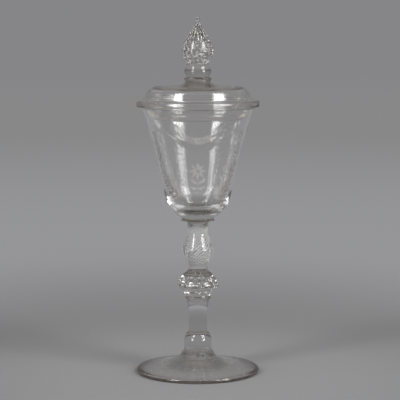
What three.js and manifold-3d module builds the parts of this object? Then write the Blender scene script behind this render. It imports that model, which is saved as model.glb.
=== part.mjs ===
// Lidded goblet of colourless glass in the baroque manner: a disc foot, a stem built up from knops
// and collars, a flared bowl, and a loose cover with a pointed finial.
// Glass of this kind is made hot from many gathers, each shaped and then fused to the last. Every
// gather is a mesh of its own here, and the gathers meet face to face at level seams.
// Units are millimetres, +Z is up, and the origin is the centre of the circle the foot stands on.

import * as THREE from "three";
import { mergeVertices } from "three/addons/utils/BufferGeometryUtils.js";
import Module from "manifold-3d";

const wasm = await Module();
wasm.setup();

// Heights lie on this grid, which 32-bit numbers hold exactly, so that stacked faces meet.
const seamGrid = 1 / 64;
const seam = (height) => Math.round(height / seamGrid) * seamGrid;

// Clearance between a worked core and the gather cased over it.
const casingGap = 0.3;

// Stations of an outline give a radius at a rise above the gather's base or at a drop below its head.

// Foot
const footRadius = 55;
const footRim = { thickness: 4, round: 2 };
const footRise = seam(12);
const footSlope = { reach: 13, rise: 2.4 };
const footWearRing = { inset: 2, width: 2.5 };
const footKick = { height: 7.5, reach: 22 };
const footSeatRadius = 21;
const pontilMark = { radius: 8.5, depth: 1.2 };

// Collar that spreads the stem on the foot
const footCollarHeight = seam(8);
const footCollarSpread = { radius: 17, rise: 1.6 };
const footCollarBulge = { radius: 15.5, rise: 3.6 };
const footCollarShoulder = { radius: 14, drop: 1.5 };
const footCollarHeadRadius = 12;

// Knop above the foot
const baseKnopHeight = seam(16.25);
const baseKnopBaseRadius = 11.8;
const baseKnopFoot = { radius: 12.35, rise: 2.8 };
const baseKnopSide = { radius: 12.35, drop: 6.5 };
const baseKnopShoulder = { radius: 10.5, drop: 1.6 };

// Drawn column
const columnHeight = seam(30);
const columnBaseRadius = 8.4;
const columnWaist = { radius: 7.85, low: 8, high: 7 };
const columnHeadRadius = 11;

// Collar that carries the beaded knop
const columnCollarHeight = seam(3);
const columnCollarRadius = 11.7;

// Beaded knop: a core with a ring of pricked beads, and the gather cased over it
const beadedKnopHeight = seam(18);
const beadedKnopBaseRadius = 11.2;
const beadedKnopWaist = { radius: 13.6, rise: 5 };
const beadedKnopUnder = { radius: 17.8, drop: 10.6 };
const beadedKnopRing = { radius: 18.7, drop: 7.7 };
const beadedKnopOver = { radius: 17.2, drop: 3.6 };
const beadedKnopHeadRadius = 12.9;
const beadedKnopCasing = { base: 2.2, ring: 3.9, head: 3.4 };
const knopBeads = { count: 12, radius: 1.7, length: 3.4 };

// Collar under the baluster
const balusterCollarHeight = seam(4.75);
const balusterCollarBaseRadius = 12.6;
const balusterCollarEdge = { radius: 12.8, rise: 1.2 };
const balusterCollarNeck = { radius: 10.1, drop: 1.55 };

// Baluster: a core with twisted threads, and the gather cased over it
const balusterHeight = seam(42.75);
const balusterBaseRadius = 8.8;
const balusterFoot = { radius: 9.1, rise: 5.4 };
const balusterSwell = { radius: 12.4, rise: 13.4 };
const balusterBelly = { radius: 13.85, rise: 18.7 };
const balusterShoulder = { radius: 11.4 };
const balusterNeck = { radius: 9, drop: 9.75 };
const balusterHeadRadius = 9.5;
const balusterCasing = 1.6;
const balusterThreads = { count: 24, depth: 0.8, turn: THREE.MathUtils.degToRad(240) };

// Collar under the bowl
const bowlCollarHeight = seam(4);
const bowlCollarBaseRadius = 10;
const bowlCollarUnder = { radius: 13.6, rise: 1.1 };
const bowlCollarLow = { radius: 15.1, rise: 1.9 };
const bowlCollarHigh = { radius: 15.1, drop: 1.4 };

// Bowl
const bowlHeight = seam(98.75);
const bowlSeatRadius = 15;
const bowlTurn = { radius: 30.5, height: 25, slope: 0.235, reach: 44 };
const bowlCup = { radius: 27.6, height: 8, ease: 3 };
const bowlRimRadius = 50.2;
const bowlFlare = { length: 16, slope: 0.34 };
const bowlWall = 2.5;
const bowlWell = { floor: 13.5, round: 5.8, ease: 5 };
const bowlRimEase = 0.5;

// Cover, measured from its seat on the bowl's rim
const coverFlange = { overhang: 4.7, thickness: 6.2, round: 4 };
const coverGallery = { depth: 10, wall: 2.2, clearance: 2, ease: 0.6 };
const coverRise = seam(20.75);
const coverWall = 3;
const coverNeck = { inset: 2.6, draw: 0.5, rise: 2.6 };
const coverSide = { taper: 2, drop: 7.75 };
const coverShoulder = { reach: 9, drop: 2.45, draw: 0.9, ease: 1.6 };
const coverApron = { reach: 24, rise: 1.2 };
const coverCeiling = { dip: 0.3, ease: 2 };
const coverSeatRadius = 13.6;

// Collar under the finial
const finialCollarHeight = seam(6);
const finialCollarBaseRadius = 13.4;
const finialCollarNeck = { radius: 11.7, rise: 1.2 };
const finialCollarEdge = { radius: 12.3, rise: 3.4 };
const finialCollarShoulder = { radius: 11.7, drop: 0.7 };

// Short knop of the finial
const finialKnopHeight = seam(11.25);
const finialKnopBaseRadius = 9.9;
const finialKnopUnder = { radius: 11, rise: 2 };
const finialKnopBelly = { radius: 11.5, rise: 5.4 };
const finialKnopShoulder = { radius: 10.8, drop: 2.2 };
const finialKnopHeadRadius = 9.3;

// Bud: a core with pricked beads and drawn tears, and the gather cased over it, drawn to a point
const budHeight = seam(41.5);
const budBaseRadius = 9.5;
const budUnder = { radius: 12.5, rise: 5.7 };
const budBelly = { radius: 14.3, rise: 11.4 };
const budShoulder = { radius: 12.5 };
const budTaper = { radius: 7.9, drop: 14.1 };
const budSpindle = { radius: 2.6, drop: 6.5, draw: 4 };
const budTip = { radius: 1.25, ease: 0.4 };
const budCasing = { wall: 1.9, point: 12.5 };
const budBeads = { count: 8, radius: 1.25, length: 2.5, rise: 4.4 };
const budBellyBeads = { count: 8, radius: 1.9, length: 3.8, rise: 9.8 };
const budTears = { count: 6, radius: 1.15, length: 11, drop: 22 };

// Facets round the axis, and steps along each curve of an outline
const wideSides = 36;
const slimSides = 24;
const arcSteps = 3;
const cupSteps = 4;
const sideSteps = 6;
const gatherSteps = 2;
const fineSteps = 9;
const threadSteps = 9;

// Turns a shape made round +Y so that it stands on +Z, without rounding.
const standing = new THREE.Matrix4().set(1, 0, 0, 0, 0, 0, -1, 0, 0, 1, 0, 0, 0, 0, 0, 1);

const tints = { foot: 0xd3d1cf, stem: 0xd6d8d6, bowl: 0xdcdedd, cover: 0xd5d3cf };

// A body turned round +Z from points of radius and height, which start and end on the axis or
// close on themselves.
function turned(points, sides) {
  return new THREE.LatheGeometry(points, sides).applyMatrix4(standing);
}

// The height of a station on a gather of some height.
const heightOf = ({ rise, drop }, height) => rise ?? height - drop;

// A station halfway up between two others on a gather of some height.
function midway({ radius }, lower, upper, height) {
  return { radius, rise: (heightOf(lower, height) + heightOf(upper, height)) / 2 };
}

// A smooth side from a gather's base to its head, through stations, all moved in by an inset.
function sideOf(height, stations, inset = 0) {
  return new THREE.SplineCurve(
    stations.map((station) => new THREE.Vector2(station.radius - inset, heightOf(station, height))),
  );
}

// The radius at a height of a side that climbs all the way.
function radiusAt(side, height) {
  let below = 0;
  let above = 1;
  for (let i = 0; i < 40; i += 1) {
    const middle = (below + above) / 2;
    if (side.getPoint(middle).y < height) {
      below = middle;
    } else {
      above = middle;
    }
  }
  return side.getPoint(above).x;
}

// The points of a solid core inside a side, and of a shell between two sides.
function coreWithin(side, steps) {
  const points = side.getPoints(steps);
  const low = new THREE.Vector2(0, points[0].y);
  const high = new THREE.Vector2(0, points[steps].y);
  return [low, ...points, high];
}

function shellBetween(inside, outside, steps) {
  return [...outside.getPoints(steps), ...inside.getPoints(steps).toReversed(), outside.getPoint(0)];
}

// A solid gather from a base radius to a head radius, through the stations between them.
function gather(name, height, baseRadius, between, headRadius) {
  const base = { radius: baseRadius, rise: 0 };
  const head = { radius: headRadius, drop: 0 };
  const side = sideOf(height, [base, ...between, head]);
  const steps = gatherSteps * (between.length + 1);
  return piece(name, turned(coreWithin(side, steps), slimSides), tints.stem);
}

function solidOf(geometry) {
  const bare = geometry.clone().deleteAttribute("normal").deleteAttribute("uv");
  const merged = mergeVertices(bare, 1e-4);
  return new wasm.Manifold(
    new wasm.Mesh({
      numProp: 3,
      vertProperties: merged.attributes.position.array,
      triVerts: new Uint32Array(merged.index.array),
    }),
  );
}

function geometryOf(solid) {
  const mesh = solid.getMesh();
  const geometry = new THREE.BufferGeometry();
  geometry.setAttribute("position", new THREE.BufferAttribute(mesh.vertProperties, mesh.numProp));
  geometry.setIndex(new THREE.BufferAttribute(mesh.triVerts, 1));
  geometry.computeVertexNormals();
  return geometry;
}

// Pits that trapped air leaves in the side of a core: a ring of balls, drawn out along the side
// where they are tears, at a station on a gather of some height.
function pricked(core, side, beads, height, offset = 0) {
  const { count, radius, length } = beads;
  const middle = heightOf(beads, height);
  const below = radiusAt(side, middle - length / 2);
  const above = radiusAt(side, middle + length / 2);
  const ball = new THREE.SphereGeometry(radius, 6, 4).applyMatrix4(standing);
  ball.scale(1, 1, length / (2 * radius));
  ball.rotateY(Math.atan2(above - below, length));
  ball.translate((above + below) / 2, 0, middle);
  const pit = solidOf(ball);
  let worked = core;
  for (let i = 0; i < count; i += 1) {
    worked = worked.subtract(pit.rotate([0, 0, (360 * (i + offset)) / count]));
  }
  return worked;
}

function piece(name, geometry, tint) {
  const glass = new THREE.MeshStandardMaterial({
    color: tint,
    roughness: 0.05,
    metalness: 0,
    transparent: true,
    opacity: 0.35,
  });
  const mesh = new THREE.Mesh(geometry, glass);
  mesh.name = name;
  return mesh;
}

// Sets meshes on one another. An entry is the height of a gather and the meshes that fill it.
// Returns the height of the last seam.
function stack(group, entries) {
  return entries.reduce((base, [height, ...meshes]) => {
    for (const mesh of meshes) {
      mesh.position.z = base;
      group.add(mesh);
    }
    return base + height;
  }, 0);
}

// A thin cone with a rounded rim that stands on a narrow ring, hollow underneath, and with the
// broken-off pontil left rough in the middle.
function foot() {
  const wearOuter = footRadius - footWearRing.inset;
  const wearInner = wearOuter - footWearRing.width;
  const pontilFloor = footKick.height - pontilMark.depth;
  const rimHeight = footRim.thickness / 2;
  const rimCentre = footRadius - footRim.round;
  const outline = new THREE.Path()
    .moveTo(0, pontilFloor)
    .quadraticCurveTo(pontilMark.radius / 2, pontilFloor, pontilMark.radius, footKick.height)
    .quadraticCurveTo(wearInner - footKick.reach, footKick.height, wearInner, 0)
    .lineTo(wearOuter, 0)
    .absellipse(rimCentre, rimHeight, footRim.round, rimHeight, -Math.PI / 2, Math.PI / 2)
    .quadraticCurveTo(
      footSeatRadius + footSlope.reach,
      footRim.thickness + footSlope.rise,
      footSeatRadius,
      footRise,
    )
    .lineTo(0, footRise);
  return piece("foot", turned(outline.getPoints(arcSteps), wideSides), tints.foot);
}

function footCollar() {
  const between = [footCollarSpread, footCollarBulge, footCollarShoulder];
  return gather("foot_collar", footCollarHeight, footSeatRadius, between, footCollarHeadRadius);
}

function baseKnop() {
  const between = [baseKnopFoot, baseKnopSide, baseKnopShoulder];
  return gather("base_knop", baseKnopHeight, baseKnopBaseRadius, between, columnBaseRadius);
}

function stemColumn() {
  const outline = new THREE.Path()
    .moveTo(0, 0)
    .lineTo(columnBaseRadius, 0)
    .bezierCurveTo(
      columnWaist.radius,
      columnWaist.low,
      columnWaist.radius,
      columnHeight - columnWaist.high,
      columnHeadRadius,
      columnHeight,
    )
    .lineTo(0, columnHeight);
  return piece("stem_column", turned(outline.getPoints(sideSteps), slimSides), tints.stem);
}

function columnCollar() {
  const top = columnCollarHeight;
  const outline = new THREE.Path()
    .moveTo(0, 0)
    .lineTo(columnHeadRadius, 0)
    .quadraticCurveTo(columnCollarRadius, 0, columnCollarRadius, top / 2)
    .quadraticCurveTo(columnCollarRadius, top, beadedKnopBaseRadius, top)
    .lineTo(0, top);
  return piece("column_collar", turned(outline.getPoints(arcSteps), slimSides), tints.stem);
}

// The beaded knop's side, moved in by what the casing takes at the base, the ring and the head.
function beadedKnopSide({ base, ring, head }) {
  return sideOf(beadedKnopHeight, [
    { radius: beadedKnopBaseRadius - base, rise: 0 },
    { ...beadedKnopWaist, radius: beadedKnopWaist.radius - base },
    { ...beadedKnopUnder, radius: beadedKnopUnder.radius - ring },
    { ...beadedKnopRing, radius: beadedKnopRing.radius - ring },
    { ...beadedKnopOver, radius: beadedKnopOver.radius - ring },
    { radius: beadedKnopHeadRadius - head, drop: 0 },
  ]);
}

function beadedKnopCore() {
  const { base, ring, head } = beadedKnopCasing;
  const side = beadedKnopSide({
    base: base + casingGap,
    ring: ring + casingGap,
    head: head + casingGap,
  });
  const blank = solidOf(turned(coreWithin(side, fineSteps), slimSides));
  const beads = { ...knopBeads, drop: beadedKnopRing.drop };
  const worked = pricked(blank, side, beads, beadedKnopHeight);
  return piece("beaded_knop_core", geometryOf(worked), tints.stem);
}

function beadedKnopCasingShell() {
  const outside = beadedKnopSide({ base: 0, ring: 0, head: 0 });
  const points = shellBetween(beadedKnopSide(beadedKnopCasing), outside, fineSteps);
  return piece("beaded_knop_casing", turned(points, slimSides), tints.stem);
}

function balusterCollar() {
  const between = [balusterCollarEdge, balusterCollarNeck];
  return gather(
    "baluster_collar",
    balusterCollarHeight,
    balusterCollarBaseRadius,
    between,
    balusterBaseRadius,
  );
}

// The baluster's side, moved in by an inset.
function balusterSide(inset) {
  const base = { radius: balusterBaseRadius, rise: 0 };
  const head = { radius: balusterHeadRadius, drop: 0 };
  const shoulder = midway(balusterShoulder, balusterBelly, balusterNeck, balusterHeight);
  const swell = [balusterFoot, balusterSwell, balusterBelly, shoulder, balusterNeck];
  return sideOf(balusterHeight, [base, ...swell, head], inset);
}

// Rings of points on the core's side, with a groove at the start of each thread, and each ring
// turned a little more than the one below.
function balusterCore() {
  const { count, depth, turn } = balusterThreads;
  const perThread = 2;
  const around = count * perThread;
  const rings = balusterSide(balusterCasing + casingGap).getPoints(threadSteps);
  const positions = [];
  for (const ring of rings) {
    for (let i = 0; i < around; i += 1) {
      const angle = (2 * Math.PI * i) / around + (turn * ring.y) / balusterHeight;
      const radius = ring.x - (i % perThread === 0 ? depth : 0);
      positions.push(radius * Math.cos(angle), radius * Math.sin(angle), ring.y);
    }
  }
  const base = around * rings.length;
  const head = base + 1;
  positions.push(0, 0, 0, 0, 0, balusterHeight);
  const faces = [];
  for (let i = 0; i < around; i += 1) {
    const next = (i + 1) % around;
    for (let level = 0; level < threadSteps; level += 1) {
      const low = level * around;
      const high = low + around;
      faces.push(low + i, low + next, high + i);
      faces.push(low + next, high + next, high + i);
    }
    const top = threadSteps * around;
    faces.push(base, next, i);
    faces.push(head, top + i, top + next);
  }
  const geometry = new THREE.BufferGeometry();
  geometry.setAttribute("position", new THREE.Float32BufferAttribute(positions, 3));
  geometry.setIndex(faces);
  geometry.computeVertexNormals();
  return piece("baluster_core", geometry, tints.stem);
}

function balusterCasingShell() {
  const points = shellBetween(balusterSide(balusterCasing), balusterSide(0), fineSteps);
  return piece("baluster_casing", turned(points, slimSides), tints.stem);
}

function bowlCollar() {
  const between = [bowlCollarUnder, bowlCollarLow, bowlCollarHigh];
  return gather("bowl_collar", bowlCollarHeight, bowlCollarBaseRadius, between, bowlSeatRadius);
}

// The bowl's flared side from its turn to its rim, moved in by an inset.
function bowlSide(inset) {
  const { radius, height, slope, reach } = bowlTurn;
  return new THREE.CubicBezierCurve(
    new THREE.Vector2(radius - inset, height),
    new THREE.Vector2(radius - inset + reach * slope, height + reach),
    new THREE.Vector2(
      bowlRimRadius - inset - bowlFlare.length * bowlFlare.slope,
      bowlHeight - bowlFlare.length,
    ),
    new THREE.Vector2(bowlRimRadius - inset, bowlHeight - bowlRimEase),
  );
}

// A flared cup that turns in over a thick solid base.
function bowl() {
  const { radius, height, slope } = bowlTurn;
  const { floor, round, ease } = bowlWell;
  const bore = radius - bowlWall;
  const cup = new THREE.Path()
    .moveTo(0, 0)
    .lineTo(bowlSeatRadius, 0)
    .bezierCurveTo(
      bowlCup.radius,
      bowlCup.height,
      radius - bowlCup.ease * slope,
      height - bowlCup.ease,
      radius,
      height,
    );
  const well = new THREE.Path()
    .moveTo(bore, height)
    .bezierCurveTo(bore - slope * ease, height - ease, bore - round, floor, 0, floor);
  const points = [
    ...cup.getPoints(cupSteps),
    ...bowlSide(0).getPoints(sideSteps).slice(1),
    new THREE.Vector2(bowlRimRadius - bowlRimEase, bowlHeight),
    new THREE.Vector2(bowlRimRadius - bowlWall + bowlRimEase, bowlHeight),
    ...bowlSide(bowlWall).getPoints(sideSteps).toReversed(),
    ...well.getPoints(cupSteps).slice(1),
  ];
  return piece("bowl", turned(points, wideSides), tints.bowl);
}

// A blown dome on a folded flange, with a gallery that drops inside the bowl's rim.
function cover() {
  const { depth, wall, clearance, ease } = coverGallery;
  const { overhang, thickness, round } = coverFlange;
  const lining = bowlSide(bowlWall);
  const galleryFoot = radiusAt(lining, bowlHeight - depth) - clearance;
  const galleryHead = radiusAt(lining, bowlHeight - bowlRimEase) - clearance;
  const edgeCentre = bowlRimRadius + overhang - round;
  const sideFoot = bowlRimRadius - coverNeck.inset;
  const neck = { radius: sideFoot - coverNeck.draw, height: thickness + coverNeck.rise };
  const sideHead = { radius: sideFoot - coverSide.taper, height: coverRise - coverSide.drop };
  const dome = {
    radius: sideHead.radius - coverShoulder.reach,
    height: coverRise - coverShoulder.drop,
  };
  const ceiling = dome.height - coverWall;
  const wallHead = { radius: sideHead.radius - coverWall, height: sideHead.height - coverCeiling.ease };
  const outline = new THREE.Path()
    .moveTo(galleryFoot - ease, -depth)
    .lineTo(galleryFoot, ease - depth)
    .lineTo(galleryHead, 0)
    .lineTo(edgeCentre, 0)
    .absellipse(edgeCentre, thickness / 2, round, thickness / 2, -Math.PI / 2, Math.PI / 2)
    .quadraticCurveTo(sideFoot, thickness, neck.radius, neck.height)
    .lineTo(sideHead.radius, sideHead.height)
    .quadraticCurveTo(
      sideHead.radius - coverShoulder.draw,
      dome.height - coverShoulder.ease,
      dome.radius,
      dome.height,
    )
    .quadraticCurveTo(coverApron.reach, dome.height + coverApron.rise, coverSeatRadius, coverRise)
    .lineTo(0, coverRise)
    .lineTo(0, ceiling + coverCeiling.dip)
    .lineTo(dome.radius, ceiling)
    .quadraticCurveTo(wallHead.radius, ceiling, wallHead.radius, wallHead.height)
    .quadraticCurveTo(sideFoot - coverWall, thickness, galleryHead - wall, 0)
    .lineTo(galleryFoot - wall, ease - depth)
    .lineTo(galleryFoot - wall + ease, -depth)
    .lineTo(galleryFoot - ease, -depth);
  return piece("cover", turned(outline.getPoints(arcSteps), wideSides), tints.cover);
}

function finialCollar() {
  const between = [finialCollarNeck, finialCollarEdge, finialCollarShoulder];
  return gather(
    "finial_collar",
    finialCollarHeight,
    finialCollarBaseRadius,
    between,
    finialKnopBaseRadius,
  );
}

function finialKnop() {
  const between = [finialKnopUnder, finialKnopBelly, finialKnopShoulder];
  return gather("finial_knop", finialKnopHeight, finialKnopBaseRadius, between, finialKnopHeadRadius);
}

// The bud's side up to its drawn spindle.
function budSide() {
  const base = { radius: budBaseRadius, rise: 0 };
  const shoulder = midway(budShoulder, budBelly, budTaper, budHeight);
  return sideOf(budHeight, [base, budUnder, budBelly, shoulder, budTaper, budSpindle]);
}

// The core's side, moved in by the casing and a gap, and closed to a point.
function budCoreSide(gap) {
  const inset = budCasing.wall + gap;
  const base = { radius: budBaseRadius, rise: 0 };
  const shoulder = midway(budShoulder, budBelly, budTaper, budHeight);
  const point = { radius: inset, drop: budCasing.point + gap };
  return sideOf(budHeight, [base, budUnder, budBelly, shoulder, point], inset);
}

function budCore() {
  const side = budCoreSide(casingGap);
  const axis = new THREE.Vector2(0, 0);
  const blank = solidOf(turned([axis, ...side.getPoints(fineSteps)], slimSides));
  const lower = pricked(blank, side, budBeads, budHeight);
  const belted = pricked(lower, side, budBellyBeads, budHeight, 0.5);
  const worked = pricked(belted, side, budTears, budHeight);
  return piece("finial_bud_core", geometryOf(worked), tints.stem);
}

function budCasingShell() {
  const spindle = new THREE.Path()
    .moveTo(budSpindle.radius, budHeight - budSpindle.drop)
    .quadraticCurveTo(budTip.radius, budHeight - budSpindle.draw, budTip.radius, budHeight - budTip.ease)
    .lineTo(budTip.radius - budTip.ease, budHeight)
    .lineTo(0, budHeight);
  const points = [
    ...budSide().getPoints(fineSteps),
    ...spindle.getPoints(gatherSteps).slice(1),
    ...budCoreSide(0).getPoints(fineSteps).toReversed(),
    budSide().getPoint(0),
  ];
  return piece("finial_bud_casing", turned(points, slimSides), tints.stem);
}

const goblet = new THREE.Group();
const rimHeight = stack(goblet, [
  [footRise, foot()],
  [footCollarHeight, footCollar()],
  [baseKnopHeight, baseKnop()],
  [columnHeight, stemColumn()],
  [columnCollarHeight, columnCollar()],
  [beadedKnopHeight, beadedKnopCore(), beadedKnopCasingShell()],
  [balusterCollarHeight, balusterCollar()],
  [balusterHeight, balusterCore(), balusterCasingShell()],
  [bowlCollarHeight, bowlCollar()],
  [bowlHeight, bowl()],
]);

const lid = new THREE.Group();
lid.position.z = rimHeight;
stack(lid, [
  [coverRise, cover()],
  [finialCollarHeight, finialCollar()],
  [finialKnopHeight, finialKnop()],
  [budHeight, budCore(), budCasingShell()],
]);

const liddedGoblet = new THREE.Group();
liddedGoblet.add(goblet, lid);

export default liddedGoblet;
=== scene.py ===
"""Looks of a lidded goblet of hand-blown glass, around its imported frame.

Lengths are millimetres until a mesh is made, and metres in the scene. The goblet stands on z = 0,
and its engraved front faces -y.
"""

import math
import random

import bmesh
import bpy
from bpy.props import FloatProperty, FloatVectorProperty, IntProperty, PointerProperty
from mathutils import Matrix, Vector, noise


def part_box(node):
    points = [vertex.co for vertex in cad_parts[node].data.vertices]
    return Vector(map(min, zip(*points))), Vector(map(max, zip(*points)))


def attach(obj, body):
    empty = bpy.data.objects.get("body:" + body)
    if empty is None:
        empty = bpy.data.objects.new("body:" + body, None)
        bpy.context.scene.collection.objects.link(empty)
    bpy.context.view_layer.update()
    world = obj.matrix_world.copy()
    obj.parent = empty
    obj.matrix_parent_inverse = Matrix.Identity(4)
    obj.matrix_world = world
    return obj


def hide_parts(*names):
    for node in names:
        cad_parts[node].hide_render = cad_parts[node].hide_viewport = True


bl_info = {
    "name": "Lidded Goblet",
    "version": (1, 0, 0),
    "blender": (4, 5, 0),
    "location": "View3D > Sidebar > Goblet",
    "description": "Builds a covered goblet of blown glass with a beaded and twisted stem",
    "category": "Add Mesh",
}

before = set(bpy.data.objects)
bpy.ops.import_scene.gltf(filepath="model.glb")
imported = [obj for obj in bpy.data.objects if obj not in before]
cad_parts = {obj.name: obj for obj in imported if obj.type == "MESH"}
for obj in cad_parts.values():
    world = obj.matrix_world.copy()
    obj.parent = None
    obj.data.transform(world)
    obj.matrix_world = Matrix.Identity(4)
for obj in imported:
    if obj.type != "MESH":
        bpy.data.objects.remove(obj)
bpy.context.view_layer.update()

MM = 0.001
# A radius below this is on the axis, and no density of a tint is below it
TINY = 1e-6
GOBLET = "goblet"
COVER = "cover"
SEED = 11
WHITE = (1, 1, 1, 1)
GLASS_IOR = 1.5

# Fused faces stand this far apart, so that light leaves one gather before it enters the next
SEAM_GAP = 0.01
# Depth of glass, in millimetres, behind which light has the tint that the settings give
TINT_DEPTH = 60
# Points round a turned piece, and round an air bubble, and rows up the bubble
SIDES = 144
BUBBLE_SIDES = 16
BUBBLE_ROWS = 10
# What hand work takes off a radius, as a share of it, and how that changes round and up a piece
HAND_SHARE = 0.003
HAND_ROUND = 0.9
HAND_RISE = 26

# Numbers of a piece's materials: the first two in every piece, then those of the stem and the
# finial, and those of the foot
GLASS, SEAM = 0, 1
AIR_THREAD, AIR_BEAD, SILVERY_BEAD = 2, 3, 4
UNDERSIDE, STANDING_RING, DARK_RIM = 2, 3, 4


def span(node):
    """Lowest and highest z of a node, in millimetres."""
    low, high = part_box(node)
    return low[2] / MM, high[2] / MM


def linear(code, alpha=1.0):
    """Scene-linear colour of an sRGB hex code."""
    channels = [int(code[i : i + 2], 16) / 255 for i in (1, 3, 5)]
    light = [c / 12.92 if c <= 0.04045 else ((c + 0.055) / 1.055) ** 2.4 for c in channels]
    return (*light, alpha)


# Outlines: lists of (radius, height) in millimetres


def smooth_value(p, q, r, s, t):
    """A value at a share t of the way from q to r, on a smooth line through all four."""
    slope = 2 * q + (r - p) * t
    bend = (2 * p - 5 * q + 4 * r - s) * t * t
    twist = (3 * q - p - 3 * r + s) * t**3
    return 0.5 * (slope + bend + twist)


def spline(stations, steps):
    """Points of a smooth line through stations, some steps to each stretch."""
    points = []
    last = len(stations) - 1
    for i in range(last):
        before, after = stations[max(i - 1, 0)], stations[min(i + 2, last)]
        nearby = (before, stations[i], stations[i + 1], after)
        for k in range(steps):
            points.append(tuple(smooth_value(*values, k / steps) for values in zip(*nearby)))
    return points + [tuple(stations[last])]


def curve_value(p, q, r, s, t):
    """A value at a share t of the way along a cubic curve from p to s."""
    u = 1 - t
    return u**3 * p + 3 * u * u * t * q + 3 * u * t * t * r + t**3 * s


def bezier(a, b, c, d, steps):
    """Points of a cubic curve from a to d."""
    points = []
    for k in range(steps + 1):
        points.append(tuple(curve_value(*values, k / steps) for values in zip(a, b, c, d)))
    return points


def quadratic(a, b, c, steps):
    """Points of a quadratic curve from a to c."""
    first = tuple(p + (q - p) * 2 / 3 for p, q in zip(a, b))
    second = tuple(r + (q - r) * 2 / 3 for q, r in zip(b, c))
    return bezier(a, first, second, c, steps)


def arc(centre, radii, start, end, steps):
    """Points of an elliptical arc, with its angles in degrees."""
    points = []
    for k in range(steps + 1):
        angle = math.radians(start + (end - start) * k / steps)
        across, rise = radii[0] * math.cos(angle), radii[1] * math.sin(angle)
        points.append((centre[0] + across, centre[1] + rise))
    return points


def radius_on(side, height):
    """The radius of a rising side at a height."""
    for (r0, z0), (r1, z1) in zip(side, side[1:]):
        if z0 <= height <= z1 and z1 > z0:
            return r0 + (r1 - r0) * (height - z0) / (z1 - z0)
    return side[-1][0] if height > side[-1][1] else side[0][0]


# Meshes


def by_hand(angle, height):
    """What hand work leaves of a true radius there, as a share of it."""
    where = Vector((math.cos(angle) * HAND_ROUND, math.sin(angle) * HAND_ROUND, height / HAND_RISE))
    return 1 - HAND_SHARE * (1 + noise.noise(where))


def strip(mesh, low, high, material, smooth=True, inwards=False):
    """Adds the faces between two rings of points, either of which may be a single point. They
    look away from the middle of the rings, or inwards.
    """
    count = max(len(low), len(high))
    for i in range(count):
        a, b = i, (i + 1) % count
        if inwards:
            a, b = b, a
        if len(low) == 1:
            corners = [low[0], high[b], high[a]]
        elif len(high) == 1:
            corners = [low[a], low[b], high[0]]
        else:
            corners = [low[a], low[b], high[b], high[a]]
        face = mesh.faces.new(corners)
        face.smooth = smooth
        face.material_index = material


def turned(outline, seams=(), skins=()):
    """A mesh of a body turned from an outline. The stretches whose numbers are in seams are fused
    to a neighbour, and skins gives the first stretches their materials' numbers.
    """
    mesh = bmesh.new()
    closed = outline[0] == outline[-1]
    rings = []
    for radius, height in outline[:-1] if closed else outline:
        if radius < TINY:
            rings.append([mesh.verts.new((0, 0, height * MM))])
            continue
        ring = []
        for i in range(SIDES):
            angle = 2 * math.pi * i / SIDES
            reach = radius * MM * by_hand(angle, height)
            x, y = reach * math.sin(angle), -reach * math.cos(angle)
            ring.append(mesh.verts.new((x, y, height * MM)))
        rings.append(ring)
    if closed:
        rings.append(rings[0])
    for index, (low, high) in enumerate(zip(rings, rings[1:])):
        if len(low) == len(high) == 1:
            continue
        if index in seams:
            strip(mesh, low, high, SEAM, smooth=False)
        else:
            strip(mesh, low, high, skins[index] if index < len(skins) else GLASS)
    return mesh


def gather(side):
    """A mesh of a solid gather of glass, with a fused seam at the base and the head of its side."""
    low, high = side[0][1] + SEAM_GAP, side[-1][1] - SEAM_GAP
    base, head = side[0][0], side[-1][0]
    outline = [(0.0, low), (base, low)] + side[1:-1] + [(head, high), (0.0, high)]
    return turned(outline, seams=(0, len(outline) - 2))


def bubble(mesh, centre, radii, turn, skin=AIR_BEAD):
    """Adds an air bubble: an ellipsoid whose faces look inwards, turned round the stem's axis.
    Its centre is a radius and a height, and skin its material's number.
    """
    place = Matrix.Rotation(turn, 4, "Z") @ Matrix.Translation((0, -centre[0] * MM, centre[1] * MM))
    rings = []
    for row in range(BUBBLE_ROWS + 1):
        polar = math.pi * row / BUBBLE_ROWS
        height = -radii[2] * math.cos(polar)
        if row in (0, BUBBLE_ROWS):
            rings.append([mesh.verts.new(place @ Vector((0, 0, height * MM)))])
            continue
        ring = []
        for i in range(BUBBLE_SIDES):
            angle = 2 * math.pi * i / BUBBLE_SIDES
            x = radii[0] * math.sin(polar) * math.cos(angle)
            y = radii[1] * math.sin(polar) * math.sin(angle)
            ring.append(mesh.verts.new(place @ Vector((x * MM, y * MM, height * MM))))
        rings.append(ring)
    for low, high in zip(rings, rings[1:]):
        strip(mesh, low, high, skin, inwards=True)


def thread(mesh, side, start, turn, reach, fade=9, steps=72, around=6):
    """Adds a thread of air wound up a side: a tube whose faces look inwards, with pointed ends.
    It swells over the first quarter of its length, and tapers over the last part in fade.
    """
    swell = 4
    z0, z1 = side[0][1], side[-1][1]
    middles = []
    for k in range(steps + 1):
        t = k / steps
        height = z0 + (z1 - z0) * t
        angle = start + turn * t
        radius = radius_on(side, height)
        middles.append(Vector((radius * math.sin(angle), -radius * math.cos(angle), height)))
    rings = [[mesh.verts.new(middles[0] * MM)]]
    for k in range(1, steps):
        along = (middles[k + 1] - middles[k - 1]).normalized()
        out = Vector((middles[k].x, middles[k].y, 0)).normalized()
        out = (out - along * out.dot(along)).normalized()
        across = along.cross(out)
        size = reach * min(1, swell * k / steps, fade * (steps - k) / steps)
        ring = []
        for i in range(around):
            angle = 2 * math.pi * i / around
            point = middles[k] + out * (size * math.cos(angle)) + across * (size * math.sin(angle))
            ring.append(mesh.verts.new(point * MM))
        rings.append(ring)
    rings.append([mesh.verts.new(middles[-1] * MM)])
    for low, high in zip(rings, rings[1:]):
        strip(mesh, low, high, AIR_THREAD, inwards=True)


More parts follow.
